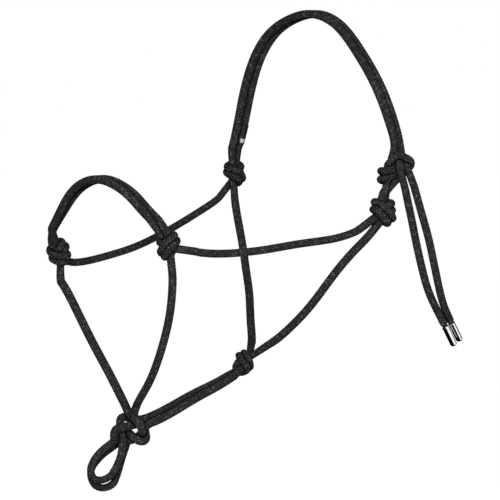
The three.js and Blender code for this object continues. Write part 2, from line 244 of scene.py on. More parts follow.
NOSEBAND = [
    (-70, -205, -168), (-63, -206, -160), (-54, -207, -152), (-44, -209, -143), (-32, -211, -134),
    (-19, -213, -128), (-5, -215, -124), (12, -214, -123), (24, -212, -128), (35, -209, -134),
    (43.2, -208.8, -141.8), (51, -207, -149.2), (59.2, -203.8, -156.4),
]
THROAT_LASH = [
    (0, -83, -280), (0, -99, -287.8), (0, -114, -293.6), (0, -127, -299.2), (0, -141, -305.8),
    (0, -155, -311), (0, -163, -313),
]
LEAD_LOOP_NEAR = [
    (4, -203, -326), (4, -213, -331), (4, -220, -337), (4, -224, -345), (4, -221, -352),
    (4, -213, -354), (4, -204, -351), (4, -198, -343), (4, -194, -335),
]
LEAD_LOOP_OFF = [
    (-4, -199, -332), (-4, -211, -339), (-4, -218, -348), (-4, -215, -358), (-4, -207, -362),
    (-4, -197, -360), (-4, -191, -350), (-4, -188, -339),
]
PAIR_GAP = 0.5  # between the noseband's two strands
PAIR_OFFSET = np.array((0, (ROPE + PAIR_GAP) / 2, 0))  # from the middle of the pair to either one
LASH_OFFSET = np.array((3, 0, -1.6))  # the same in the throat lash, which is tilted


def back(points):
    return points[::-1]


# The whole run, from the front tail to the rear one: strands and knots by turns.
RUN = [
    ("tail_front", back(TAIL_FRONT)),
    ("crown_tie", back(TIE_FRONT)),
    ("crown_strand_front", back(CROWN_FRONT)),
    ("off_cheek_knot", overhand_pass(OFF_CHEEK_KNOT, -1)),
    ("off_cheek_strand", OFF_CHEEK),
    ("off_nose_knot", back(overhand_pass(OFF_NOSE_KNOT, 1))),
    ("noseband_front", NOSEBAND - PAIR_OFFSET),
    ("near_nose_knot", overhand_pass(NEAR_NOSE_KNOT, 1)),
    ("near_cheek_strand", back(NEAR_CHEEK)),
    ("near_cheek_knot", back(overhand_pass(NEAR_CHEEK_KNOT, 1))),
    ("tie_loop", TIE_LOOP),
    ("near_cheek_knot", overhand_pass(NEAR_CHEEK_KNOT, -1)),
    ("near_throat_strand", NEAR_THROAT),
    ("throat_knot", back(overhand_pass(THROAT_KNOT, 1))),
    ("throat_lash_off", THROAT_LASH - LASH_OFFSET),
    ("fiador_knot", FIADOR_OFF_LASH),
    ("lead_loop_near", back(LEAD_LOOP_NEAR)),
    ("fiador_knot", back(FIADOR_OFF_CHIN)),
    ("off_chin_strand", back(OFF_CHIN)),
    ("off_nose_knot", back(overhand_pass(OFF_NOSE_KNOT, -1))),
    ("noseband_rear", NOSEBAND + PAIR_OFFSET),
    ("near_nose_knot", overhand_pass(NEAR_NOSE_KNOT, -1)),
    ("near_chin_strand", NEAR_CHIN),
    ("fiador_knot", FIADOR_NEAR_CHIN),
    ("lead_loop_off", LEAD_LOOP_OFF),
    ("fiador_knot", back(FIADOR_NEAR_LASH)),
    ("throat_lash_near", back(THROAT_LASH + LASH_OFFSET)),
    ("throat_knot", overhand_pass(THROAT_KNOT, -1)),
    ("off_throat_strand", back(OFF_THROAT)),
    ("off_cheek_knot", back(overhand_pass(OFF_CHEEK_KNOT, 1))),
    ("crown_strand_rear", CROWN_REAR),
    ("crown_tie", TIE_REAR),
    ("tail_rear", TAIL_REAR),
]
RUN = [(name, np.array(points, float) * MM) for name, points in RUN]
ROPE_D = ROPE * MM
LAST_ROW = len(RUN) - 1

# In the order they are settled: how close the ropes press, in rope diameters, the share of rope
# that is pulled out, the shift across and up that follows, in millimetres, and the roll in degrees.
KNOTS = {
    "off_cheek_knot": (0.80, 0.29, (-4.0, -2.0), 8),
    "off_nose_knot": (0.72, 0.35, (-6.0, -2.8), 0),
    "near_nose_knot": (0.72, 0.33, (2.6, 0.8), -3),
    "near_cheek_knot": (0.84, 0.27, (0, 0.5), 6),
    "throat_knot": (0.69, 0.36, (4.6, 0.5), 8),
    "fiador_knot": (0.88, 0.0, (0, 0), 0),
    "crown_tie": (0.84, 0.06, (0, 0), 0),
}
HELD = {"crown_tie": "tie_loop"}  # a strand that a knot is tied around, which settles with it
LOOP_LEAD = 10 * MM  # how much of that strand moves with the knot it comes from
TIP_LENGTH = 4.5 * MM  # rope inside a ferrule


def unit(vector):
    return vector / np.linalg.norm(vector)


def smooth_curve(points, per_gap):
    """A centripetal Catmull-Rom curve through the points, sampled per_gap times in each gap."""
    ends = np.vstack((2 * points[0] - points[1], points, 2 * points[-1] - points[-2]))
    knots = np.concatenate(([0], np.cumsum(np.linalg.norm(np.diff(ends, axis=0), axis=1) ** 0.5)))
    share = np.arange(per_gap)[:, None] / per_gap
    stretches = []
    for i in range(len(points) - 1):
        p0, p1, p2, p3 = ends[i:i + 4]
        t0, t1, t2, t3 = knots[i:i + 4]
        t = t1 + (t2 - t1) * share
        a1 = ((t1 - t) * p0 + (t - t0) * p1) / (t1 - t0)
        a2 = ((t2 - t) * p1 + (t - t1) * p2) / (t2 - t1)
        a3 = ((t3 - t) * p2 + (t - t2) * p3) / (t3 - t2)
        b1 = ((t2 - t) * a1 + (t - t0) * a2) / (t2 - t0)
        b2 = ((t3 - t) * a2 + (t - t1) * a3) / (t3 - t1)
        stretches.append(((t2 - t) * b1 + (t - t1) * b2) / (t2 - t1))
    return np.vstack(stretches + [points[-1:]])


def lengths_along(line):
    """How far along a line each of its points is."""
    return np.concatenate(([0], np.cumsum(np.linalg.norm(np.diff(line, axis=0), axis=1))))


def at_lengths(line, wanted):
    along = lengths_along(line)
    return np.stack([np.interp(wanted, along, line[:, axis]) for axis in range(3)], axis=1)


LINK = 2 * MM  # length of one link of the rope while it settles
CURVE_SAMPLES = 16


def lengthened(points):
    """The run with straight ends added, for the rope inside the two ferrules."""
    before = points[0] + unit(points[0] - points[1]) * TIP_LENGTH
    after = points[-1] + unit(points[-1] - points[-2]) * TIP_LENGTH
    return np.vstack((before, points, after))


def linked_run():
    """The run as equal links, and the link that each row begins at. A knot reaches one point into
    the strands on both sides, so the rows meet at the strands' end points."""
    points = lengthened(np.vstack([points for _, points in RUN]))
    dense = smooth_curve(points, CURVE_SAMPLES)
    along = lengths_along(dense)
    counts = np.cumsum([1] + [len(points) for _, points in RUN])
    begins = [along[0]]
    for row in range(1, len(RUN)):
        strand_before = RUN[row][0] in KNOTS
        point = counts[row] - 1 if strand_before else counts[row]
        begins.append(along[point * CURVE_SAMPLES])
    begins.append(along[-1])
    links = round(along[-1] / LINK)
    spots = np.linspace(0, along[-1], links + 1)
    return at_lengths(dense, spots), np.round(np.array(begins) / along[-1] * links).astype(int)


# ---------------- settling the knots
LEAD = 25 * MM  # how much of the strands beyond a knot settles with it
CARRY = 50 * MM  # and how much of them moves when the knot is shifted or rolled
EASE_FROM = 8 * MM  # a strand eases from here, outside its knots,
EASE_RAMP = 14 * MM  # and fully this much further on
EASE_STEPS = 700
ROUNDING_STEPS = 40  # these take the last small kinks out
EASE_RATE = 0.5
SETTLE_STEPS = 900
CORRECTIONS = 2  # of contacts and lengths in each step
PINNED = 3  # links held still at each end
STIFFNESS = 0.15
SOFTENING = 0.7  # the share of the stiffness that is gone when the rope is tight
TIGHTENING = 0.7  # the share of the steps over which the rope tightens
BESIDE = 1.3  # links nearer along the rope don't touch, in contact distances
LOOK_WITHIN = 1.8  # contacts are looked for this near, in contact distances,
LOOK_EVERY = 10  # and again after so many steps
PUSH = 0.25  # the share of an overlap that each of its two links moves
CROWDING = 0.35  # how much each of a link's contacts counts in the average of its moves
TINY = 1e-12  # keeps a divisor above zero
SLACK = 2  # links on the knot's side among which a row's beginning is looked for


def step_share(value):
    """0 below 0, 1 above 1, and a smooth step between."""
    value = np.clip(value, 0, 1)
    return value * value * (3 - 2 * value)


def push_apart(points, first, second, free, reach):
    """Moves links apart that are nearer than reach."""
    gap = points[first] - points[second]
    distance = np.sqrt((gap * gap).sum(1)) + TINY
    deep = reach - distance
    touching = deep > 0
    if not touching.any():
        return
    push = gap[touching] / distance[touching, None] * deep[touching, None] * PUSH
    moves = np.zeros_like(points)
    count = np.zeros(len(points))
    for side, sign in ((first[touching], 1), (second[touching], -1)):
        np.add.at(moves, side, sign * push)
        np.add.at(count, side, 1)
    points += free * moves / np.maximum(1, count * CROWDING)[:, None]


def keep_lengths(points, starts, rest, free):
    """Restores the length of the links that begin at starts."""
    link = points[starts + 1] - points[starts]
    length = np.linalg.norm(link, axis=1) + TINY
    excess = link * ((length - rest) / length)[:, None]
    both = np.maximum(free[starts] + free[starts + 1], TINY)
    points[starts] += excess * free[starts] / both
    points[starts + 1] -= excess * free[starts + 1] / both


def rolled(points, centre, angles):
    """Turns each point about the outward line through the centre."""
    across = (points - centre) @ ACROSS
    up = (points - centre) @ UP
    turned_across = across * np.cos(angles) - up * np.sin(angles)
    turned_up = across * np.sin(angles) + up * np.cos(angles)
    moved = (turned_across - across)[:, None] * ACROSS + (turned_up - up)[:, None] * UP
    return points + moved


def lead_into(row, usual):
    """How many links of a strand move with the knot beside it."""
    return round((LOOP_LEAD if RUN[row][0] in HELD.values() else usual) / LINK)


def carry(line, begins, rows, shift, roll):
    """Shifts and rolls a knot, and less and less of the strands that leave it."""
    centre = np.vstack([line[begins[row]:begins[row + 1] + 1] for row in rows]).mean(0)
    for row in rows:
        first, last = begins[row], begins[row + 1]
        before = min(lead_into(row - 1, CARRY), (first - begins[row - 1]) // 2)
        after = min(lead_into(row + 1, CARRY), (begins[row + 2] - last) // 2)
        places = np.arange(first - before, last + after + 1)
        outside = np.maximum((first - places) / before, (places - last) / after)
        share = step_share(1 - outside)
        line[places] = rolled(line[places], centre, roll * share) + share[:, None] * shift


def settle(line, spans, contact, pulled_out):
    """Tightens the stretches of one knot: rope is pulled out of it, straightens where it can, and
    can't pass through itself. The ends of each stretch stay."""
    chosen = np.concatenate([np.arange(a, b) for a, b in spans])
    points = line[chosen].copy()
    chain = np.concatenate([np.full(b - a, i) for i, (a, b) in enumerate(spans)])
    place = np.concatenate([np.arange(b - a) for a, b in spans])
    free = np.concatenate([
        np.minimum(np.arange(b - a), np.arange(b - a)[::-1]) >= PINNED for a, b in spans
    ]).astype(float)[:, None]
    near_along = math.ceil(BESIDE * contact / LINK)
    i, j = np.triu_indices(len(points), 1)
    apart = (chain[i] != chain[j]) | (place[i] - place[j] < -near_along)
    i, j = i[apart], j[apart]
    starts = np.nonzero(chain[:-1] == chain[1:])[0]
    inner = np.nonzero((chain[:-2] == chain[1:-1]) & (chain[1:-1] == chain[2:]))[0] + 1
    rest = np.linalg.norm(points[starts + 1] - points[starts], axis=1)
    halves = [place[starts] % 2 == parity for parity in (0, 1)]
    for step in range(SETTLE_STEPS):
        eased = min(1, step / (TIGHTENING * SETTLE_STEPS))
        bend = STIFFNESS * (1 - SOFTENING * eased)
        middle = 0.5 * (points[inner - 1] + points[inner + 1]) - points[inner]
        points[inner] += bend * middle * free[inner]
        if step % LOOK_EVERY == 0:
            gap = points[i] - points[j]
            close = (gap * gap).sum(1) < (LOOK_WITHIN * contact) ** 2
            first, second = i[close], j[close]
        kept = rest * (1 - pulled_out * eased)
        for _ in range(CORRECTIONS):
            push_apart(points, first, second, free, contact)
            for half in halves:
                keep_lengths(points, starts[half], kept[half], free)
    line[chosen] = points


def boundaries(line, begins, marks):
    """Where each row now begins: the link nearest its old beginning, on the strand's side, as rope
    has been pulled out of the knot."""
    reach = round(CARRY / LINK)
    found = [begins[0]]
    for row in range(1, len(RUN)):
        strand_before = RUN[row][0] in KNOTS
        start = begins[row] - (reach if strand_before else SLACK)
        links = line[start:start + reach + SLACK + 1]
        found.append(start + np.argmin(np.linalg.norm(links - marks[row], axis=1)))
    return np.array(found + [begins[-1]])


def ease(line, drawn, begins):
    """Spreads what the knots have moved over the strands between them, so that these keep the
    curves they were drawn with. The loops and the strands' ends stay as they are."""
    for row, (first, last) in enumerate(zip(begins[:-1], begins[1:])):
        if RUN[row][0] in KNOTS or "loop" in RUN[row][0]:
            continue
        places = np.arange(first, last + 1)
        nearest_end = np.minimum(places - first, last - places) * LINK
        if row in (0, LAST_ROW):
            nearest_end = (last - places if row == 0 else places - first) * LINK
        free = step_share((nearest_end - EASE_FROM) / EASE_RAMP)[1:-1, None]
        moved = line[places] - drawn[places]
        for _ in range(EASE_STEPS):
            moved[1:-1] += EASE_RATE * free * (0.5 * (moved[:-2] + moved[2:]) - moved[1:-1])
        line[places] = drawn[places] + moved
        for _ in range(ROUNDING_STEPS):
            strand = line[places]
            middle = 0.5 * (strand[:-2] + strand[2:])
            line[places[1:-1]] += EASE_RATE * free * (middle - strand[1:-1])


def settled_run():
    """The whole run with its knots pulled snug, and the link that each row begins at."""
    drawn, begins = linked_run()
    line = drawn.copy()
    marks = line[begins].copy()
    for knot, (contact, pulled_out, (across, up), roll) in KNOTS.items():
        rows = [row for row, (name, _) in enumerate(RUN) if name == knot]
        spans = [
            (begins[row] - lead_into(row - 1, LEAD), begins[row + 1] + lead_into(row + 1, LEAD))
            for row in rows
        ]
        held = [row for row, (name, _) in enumerate(RUN) if name == HELD.get(knot)]
        spans += [(begins[row], begins[row + 1]) for row in held]
        settle(line, spans, contact * ROPE_D, pulled_out)
        shift = (across * ACROSS + up * UP) * MM
        carry(line, begins, rows, shift, math.radians(roll))
        marks[rows] += shift
        marks[np.array(rows) + 1] += shift
    begins = boundaries(line, begins, marks)
    ease(line, drawn, begins)
    return line, begins


# ---------------- the braid
YARNS = 10  # yarns laid each way round the rope
YARN_STEPS = 6  # mesh steps across one yarn
AROUND = YARNS * YARN_STEPS
YARN_PITCH = 2.4 * MM  # rope length from one yarn to the next
RING_STEP = YARN_PITCH / YARN_STEPS
CROWN_RADIUS = 3.34 * MM  # on top of a yarn
VALLEY_RADIUS = 2.98 * MM  # between yarns
TIP_RADIUS = 2.1 * MM  # inside a ferrule
TAPER = 2.0 * MM  # the length over which the rope narrows into a ferrule
WIDTH_MARGIN = 1.5 * ROPE_D  # from a row's end to where it has its own width
SURFACE_SAMPLES = 6  # samples of the curve between two links
TANGENT_ROUNDS = 3  # smoothings of the rope's direction

# How wide each stretch lies: tension thins the rope, and it spreads where it is slack.
WIDTH = {
    "off_cheek_strand": 0.93, "near_cheek_strand": 0.95, "near_chin_strand": 0.96,
    "off_chin_strand": 1.06, "off_throat_strand": 1.05, "near_throat_strand": 1.02,
    "tail_front": 0.97, "tail_rear": 0.97, "fiador_knot": 1.02, "lead_loop_near": 0.88,
    "lead_loop_off": 0.88, "off_cheek_knot": 0.94, "near_cheek_knot": 1.0, "off_nose_knot": 0.9,
    "near_nose_knot": 0.95, "throat_knot": 0.86, "crown_tie": 0.92, "tie_loop": 0.9,
    "crown_strand_front": 1.03, "crown_strand_rear": 1.03,
}


def turn_angles(count):
    """Equal steps of one turn."""
    return 2 * np.pi * np.arange(count) / count


def wheel(axis, reference, count):
    """Equal unit spokes round an axis, of which the first is square to the reference."""
    side = unit(np.cross(axis, reference))
    other = np.cross(axis, side)
    angle = turn_angles(count)[:, None]
    return np.cos(angle) * side + np.sin(angle) * other


def turned_along(tangents):
    """A sideways direction for each ring that never twists about the rope."""
    side = unit(np.cross(tangents[0], (0.3, 0.9, 0.2)))
    sides = [side]
    for tangent in tangents[1:]:
        side = side - tangent * (side @ tangent)
        side = side / math.sqrt(side @ side)
        sides.append(side)
    return np.array(sides)


def braid_lift(rings):
    """How high the yarns stand at each point, from 0 to 1, and the place across and along the
    yarn there. Each yarn goes over two and under two of the other way's yarns."""
    step = np.arange(AROUND)[None, :]
    left = (step + rings[:, None]) / YARN_STEPS
    right = (step - rings[:, None]) / YARN_STEPS
    left_yarn = np.floor(left)
    right_yarn = np.floor(right)
    left_over = (left_yarn + right_yarn) % 4 < 2
    along_left = (left_yarn + right) % 4 / 2
    along_right = ((right_yarn + left) % 4 - 2) / 2
    across = np.where(left_over, left - left_yarn, right - right_yarn)
    along = np.where(left_over, along_left, along_right)
    lift = np.sqrt(np.clip(np.sin(np.pi * across) * np.sin(np.pi * along), 0, 1))
    fibre = np.where(left_over[..., None], np.stack((left, right), -1), np.stack((right, left), -1))
    return lift, fibre


def widths(along, begins_at):
    """How wide the rope lies at each length, with the changes spread over a few diameters."""
    spots = []
    factors = []
    for row, (name, _) in enumerate(RUN):
        begin, end = begins_at[row], begins_at[row + 1]
        margin = min(WIDTH_MARGIN, (end - begin) / 3)
        spots += [begin + margin, end - margin]
        factors += [WIDTH.get(name, 1.0)] * 2
    return np.interp(along, spots, factors)


PRESS_WITHIN = 1.3  # how near another part of the rope presses, in rope diameters,
PRESS_APART = 2.0  # and how far along the rope it has to be
PRESS_STRIDE = 3  # rings from one that is looked for to the next
FLATTEST = 0.6  # the least share of its radius that a point keeps
UNPRESSED = 9  # that share, before it is limited to 1, where nothing is in the way
CREASE_FROM = 1.0  # how far the midway plane is, in radii, where the painted crease shade is darkest
CREASE_TO = 1.55  # and where that painted shade ends


def press(centres, spokes):
    """Flattens the rope against other parts of itself, at the plane midway between the two
    centrelines. Gives how open each point is, from 0 in a crease to 1, which the rope's finish turns
    into painted shade in the creases."""
    openness_for_painted_shade = np.ones(spokes.shape[:2])
    sparse = centres[::PRESS_STRIDE]
    tree = KDTree(len(sparse))
    for i, centre in enumerate(sparse):
        tree.insert(centre, i * PRESS_STRIDE)
    tree.balance()
    own = PRESS_APART * ROPE_D / RING_STEP
    for ring, centre in enumerate(centres):
        found = tree.find_range(centre, PRESS_WITHIN * ROPE_D)
        others = [place for place, other, _ in found if abs(other - ring) > own]
        if not others:
            continue
        ways = np.array(others) - centre
        towards = spokes[ring] @ ways.T
        half = 0.5 * (ways * ways).sum(1)
        share = np.where(towards > TINY, half / np.maximum(towards, TINY), UNPRESSED).min(1)
        spokes[ring] *= np.clip(share, FLATTEST, 1)[:, None]
        openness_for_painted_shade[ring] = np.clip((share - CREASE_FROM) / (CREASE_TO - CREASE_FROM), 0, 1)
    return openness_for_painted_shade


def unit_spokes(centres):
    """The directions from each ring's centre to its points."""
    tangents = np.gradient(centres, axis=0)
    for _ in range(TANGENT_ROUNDS):
        tangents[1:-1] = (tangents[:-2] + 2 * tangents[1:-1] + tangents[2:]) / 4
    tangents /= np.linalg.norm(tangents, axis=1)[:, None]
    sides = turned_along(tangents)
    others = np.cross(tangents, sides)
    angle = turn_angles(AROUND)[None, :, None]
    return np.cos(angle) * sides[:, None, :] + np.sin(angle) * others[:, None, :]


def radii(lift, spots, begins_at):
    """The rope's radius at each point of its rings: its ends narrow into the ferrules."""
    radius = VALLEY_RADIUS + (CROWN_RADIUS - VALLEY_RADIUS) * lift
    radius *= widths(spots, begins_at)[:, None]
    mouth = np.minimum(spots - TIP_LENGTH, spots[-1] - TIP_LENGTH - spots)
    into = step_share(1 - mouth / TAPER)[:, None]
    return radius * (1 - into) + TIP_RADIUS * into


def make_rings():
    """The braided surface of the whole rope, ring by ring."""
    line, begins = settled_run()
    dense = smooth_curve(line, SURFACE_SAMPLES)
    along = lengths_along(dense)
    begins_at = along[begins * SURFACE_SAMPLES]
    count = int(along[-1] / RING_STEP)
    spots = np.arange(count + 1) * RING_STEP
    centres = at_lengths(dense, spots)
    lift, fibre = braid_lift(np.arange(count + 1))
    spokes = unit_spokes(centres) * radii(lift, spots, begins_at)[..., None]
    openness_for_painted_shade = press(centres, spokes)
    bounds = np.round(begins_at / RING_STEP).astype(int)
    bounds[-1] = count
    return centres, centres[:, None, :] + spokes, lift, openness_for_painted_shade, fibre, bounds


CENTRES, SURFACE, LIFT, OPENNESS_FOR_PAINTED_SHADE, FIBRE, BOUNDS = make_rings()


# ---------------- materials
def new_material(name):
    material = bpy.data.materials.new(name)
    material.use_nodes = True
    tree = material.node_tree
    return material, tree, tree.nodes["Principled BSDF"]


def ramp(tree, source, stops):
    """A node's value turned into a colour, by (position, grey or colour) stops."""
    node = tree.nodes.new("ShaderNodeValToRGB")
    tree.links.new(source.outputs["Fac"], node.inputs["Fac"])
    elements = node.color_ramp.elements
    while len(elements) < len(stops):
        elements.new(0.5)
    for element, (position, value) in zip(elements, stops):
        element.position = position
        element.color = (*value, 1) if isinstance(value, tuple) else (value, value, value, 1)
    return node.outputs["Color"]


def noise(tree, vector, scale, detail, roughness=0.5):
    node = tree.nodes.new("ShaderNodeTexNoise")
    node.inputs["Scale"].default_value = scale
    node.inputs["Detail"].default_value = detail
    node.inputs["Roughness"].default_value = roughness
    tree.links.new(vector, node.inputs["Vector"])
    return node


def object_noise(tree, scale, detail, roughness=0.5):
    """Noise through the object itself, its scale in cycles to the metre."""
    place = tree.nodes.new("ShaderNodeTexCoord")
    return noise(tree, place.outputs["Object"], scale, detail, roughness)


def bumped(tree, shader, source, strength, distance):
    """A node's value as fine relief."""
    bump = tree.nodes.new("ShaderNodeBump")
    bump.inputs["Strength"].default_value = strength
    bump.inputs["Distance"].default_value = distance
    tree.links.new(source.outputs["Fac"], bump.inputs["Height"])
    tree.links.new(bump.outputs["Normal"], shader.inputs["Normal"])


def attribute(tree, name):
    """A value that the mesh holds at each of its points."""
    node = tree.nodes.new("ShaderNodeAttribute")
    node.attribute_name = name
    return node


def mixed(tree, blend, factor, first, second):
    """Two colours mixed. Each input is a value or another node's output."""
    node = tree.nodes.new("ShaderNodeMix")
    node.data_type = "RGBA"
    node.blend_type = blend
    for socket, value in ((node.inputs[0], factor), (node.inputs[6], first), (node.inputs[7], second)):
        if isinstance(value, bpy.types.NodeSocket):
            tree.links.new(value, socket)
        else:
            socket.default_value = value
    return node.outputs[2]


FIBRES_PER_YARN = 9
FIBRE_LENGTH_SCALE = 1.3  # how often the filaments change along a yarn
FLECK = (0.15, 0.151, 0.155, 1)


def rope_material():
    """Dark charcoal braided yarn: heathered filaments, with painted shade between the yarns and in the
    creases, and painted lightening on the yarns' tops.
    """
    material, tree, shader = new_material("charcoal_braid")
    uv = tree.nodes.new("ShaderNodeUVMap")
    uv.uv_map = "fibres"
    stretch = tree.nodes.new("ShaderNodeMapping")
    stretch.inputs["Scale"].default_value = (FIBRES_PER_YARN, FIBRE_LENGTH_SCALE, 1)
    tree.links.new(uv.outputs["UV"], stretch.inputs["Vector"])
    filaments = noise(tree, stretch.outputs["Vector"], 1.0, 3, 0.6)
    heather = object_noise(tree, 430, 2, 0.7)
    drift = object_noise(tree, 45, 3)

    yarn = ramp(tree, filaments, [(0.3, (0.018, 0.0185, 0.02)), (0.7, (0.064, 0.065, 0.068))])
    specks = ramp(tree, heather, [(0.52, 0.0), (0.66, 1.0)])
    shade = ramp(tree, drift, [(0.3, 0.86), (0.7, 1.1)])
    # Painted shade between the yarns, darkest in the valleys, and painted lightening on the yarns'
    # tops.
    valley_shade = ramp(tree, attribute(tree, "lift"), [(0.0, 0.06), (0.45, 0.56), (1.0, 1.22)])
    # Painted shade in the creases where the rope presses against itself.
    painted_crease_shade = ramp(tree, attribute(tree, "openness_for_painted_shade"), [(0.0, 0.04), (0.5, 0.5), (1.0, 1.0)])
    colour = mixed(tree, "MIX", specks, yarn, FLECK)
    # Random tone, then the painted valley shade and the painted crease shade, each multiplied in.
    for darker in (shade, valley_shade, painted_crease_shade):
        colour = mixed(tree, "MULTIPLY", 1.0, colour, darker)
    tree.links.new(colour, shader.inputs["Base Color"])

    rough = ramp(tree, filaments, [(0.3, 0.95), (0.7, 0.78)])
    tree.links.new(rough, shader.inputs["Roughness"])
    shader.inputs["Specular IOR Level"].default_value = 0.06
    bumped(tree, shader, filaments, 0.55, 0.12 * MM)
    return material


def sleeve_material():
    """Satin black rubber with a faint grain."""
    material, tree, shader = new_material("black_sleeve")
    grain = object_noise(tree, 1800, 3)
    cloud = object_noise(tree, 160, 3)
    colour = ramp(tree, cloud, [(0.3, (0.003, 0.003, 0.004)), (0.75, (0.007, 0.007, 0.009))])
    tree.links.new(colour, shader.inputs["Base Color"])
    rough = ramp(tree, grain, [(0.3, 0.42), (0.7, 0.56)])
    tree.links.new(rough, shader.inputs["Roughness"])
    shader.inputs["Specular IOR Level"].default_value = 0.2
    bumped(tree, shader, grain, 0.25, 0.05 * MM)
    return material


def band_material():
    """The pale stretch of the sleeve's band."""
    material, tree, shader = new_material("pale_band")
    wear = object_noise(tree, 900, 4)
    colour = ramp(tree, wear, [(0.3, (0.5, 0.5, 0.52)), (0.6, (0.74, 0.74, 0.75))])
    tree.links.new(colour, shader.inputs["Base Color"])
    rough = ramp(tree, wear, [(0.3, 0.5), (0.7, 0.62)])
    tree.links.new(rough, shader.inputs["Roughness"])
    return material


def chrome_material():
    """Bright plated metal with fine turning marks."""
    material, tree, shader = new_material("bright_metal")
    smudge = object_noise(tree, 260, 3)
    marks = object_noise(tree, 2600, 2)
    colour = ramp(tree, smudge, [(0.3, (0.72, 0.73, 0.75)), (0.7, (0.84, 0.845, 0.86))])
    tree.links.new(colour, shader.inputs["Base Color"])
    rough = ramp(tree, smudge, [(0.35, 0.08), (0.75, 0.2)])
    tree.links.new(rough, shader.inputs["Roughness"])
    shader.inputs["Metallic"].default_value = 1.0
    bumped(tree, shader, marks, 0.08, 0.03 * MM)
    return material


ROPE_FINISH = rope_material()
SLEEVE_FINISH = sleeve_material()
BAND_FINISH = band_material()
CHROME_FINISH = chrome_material()


# ---------------- meshes
def mesh_object(name, points, quads, fans, materials):
    """An object from points, smooth four-sided faces and flat three-sided ones."""
    mesh = bpy.data.meshes.new(name)
    mesh.vertices.add(len(points))
    mesh.vertices.foreach_set("co", np.ascontiguousarray(points, np.float32).ravel())
    corners = np.concatenate((quads.ravel(), fans.ravel())).astype(np.int32)
    mesh.loops.add(len(corners))
    mesh.loops.foreach_set("vertex_index", corners)
    quad_starts = np.arange(len(quads)) * 4
    fan_starts = quads.size + np.arange(len(fans)) * 3
    mesh.polygons.add(len(quads) + len(fans))
    mesh.polygons.foreach_set("loop_start", np.concatenate((quad_starts, fan_starts)).astype(np.int32))
    mesh.update(calc_edges=True)
    mesh.shade_smooth()
    flat = np.zeros(len(quads) + len(fans), bool)
    flat[len(quads):] = True
    sharp = mesh.attributes.get("sharp_face") or mesh.attributes.new("sharp_face", "BOOLEAN", "FACE")
    sharp.data.foreach_set("value", flat)
    for material in materials:
        mesh.materials.append(material)
    obj = bpy.data.objects.new(name, mesh)
    bpy.context.scene.collection.objects.link(obj)
    return obj


def tube_faces(rings, around, first):
    """The side faces of a tube of rings, and the fans that close its two ends."""
    ring = np.arange(rings - 1)[:, None] * around
    here = np.arange(around)[None, :]
    after = (here + 1) % around
    quads = np.stack((ring + here, ring + after, ring + around + after, ring + around + here), -1)
    hub = rings * around
    rim = np.arange(around)
    rim_after = (rim + 1) % around
    low = np.stack((np.full(around, hub), rim_after, rim), -1)
    top = (rings - 1) * around
    high = np.stack((np.full(around, hub + 1), top + rim, top + rim_after), -1)
    return quads.reshape(-1, 4) + first, np.vstack((low, high)) + first


def with_ends(values, stretches, ends=None):
    """The values of each stretch's rings, and then those of its two end points."""
    parts = []
    for a, b in stretches:
        parts.append(values[a:b + 1].reshape(-1, *values.shape[2:]))
        parts.append(np.zeros_like(parts[-1][:2]) if ends is None else ends[[a, b]])
    return np.concatenate(parts)


def braided(name, stretches):
    """A piece of the rope: one closed tube for each stretch of rings."""
    quads, fans = [], []
    first = 0
    for a, b in stretches:
        side, ends = tube_faces(b - a + 1, AROUND, first)
        quads.append(side)
        fans.append(ends)
        first += (b - a + 1) * AROUND + 2
    quads, fans = np.vstack(quads), np.vstack(fans)
    points = with_ends(SURFACE, stretches, CENTRES)
    obj = mesh_object(name + "_braid", points, quads, fans, [ROPE_FINISH])
    # The lift shapes the braid and, in the finish, sets painted shade between the yarns; the openness
    # sets painted shade in the creases.
    for attribute_name, values in (("lift", LIFT), ("openness_for_painted_shade", OPENNESS_FOR_PAINTED_SHADE)):
        layer = obj.data.attributes.new(attribute_name, "FLOAT", "POINT")
        layer.data.foreach_set("value", with_ends(values, stretches).astype(np.float32))
    corners = np.concatenate((quads.ravel(), fans.ravel()))
    fibres = with_ends(FIBRE, stretches)[corners].astype(np.float32)
    obj.data.uv_layers.new(name="fibres").uv.foreach_set("vector", fibres.ravel())
    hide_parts(name)
    return obj


SWINGING = {
    "tail_front": "front_tail",
    "tail_rear": "rear_tail",
    "lead_loop_near": "near_lead_loop",
    "lead_loop_off": "off_lead_loop",
}
TAIL_BEND = 16 * MM  # the length of tail from its knot to where a swing's bend would end; nothing is bent
LOOP_BEND = 14 * MM  # the same for a lead loop,
LOOP_BEND_FROM = 1 * MM  # which begins this far beyond its roots


def swing(obj, name, a, b):
    """Works out where a tail or lead loop would bend as it leaves its knot, but only bakes the object's
    transform into its mesh.
    """
    if name == "tail_front":
        start, end = CENTRES[b], CENTRES[b - round(TAIL_BEND / RING_STEP)]
    elif name == "tail_rear":
        start, end = CENTRES[a], CENTRES[a + round(TAIL_BEND / RING_STEP)]
    else:
        roots = CENTRES[[a, b]]
        middle = roots.mean(0)
        way = unit(CENTRES[(a + b) // 2] - middle)
        reach = ((roots - middle) @ way).max() + LOOP_BEND_FROM
        start = middle + way * reach
        end = start + way * LOOP_BEND
    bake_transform(obj)


def make_strand(row):
    """A strand, a loop or a tail."""
    name, _ = RUN[row]
    a, b = BOUNDS[row], BOUNDS[row + 1]
    obj = braided(name, [(a, b)])
    if name in SWINGING:
        swing(obj, name, a, b)
    else:
        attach(obj, "halter")
    return obj


def declare_cord(row):
    """Works out how long a strand is and how it runs from the knot that it leaves, as evenly spaced
    points, and keeps neither.
    """
    a, b = BOUNDS[row], BOUNDS[row + 1]
    path = CENTRES[a:b + 1]
    if row == 0:
        path = path[::-1]
    length = lengths_along(path)[-1]
    path = at_lengths(path, np.linspace(0, length, round(length / LINK) + 1))


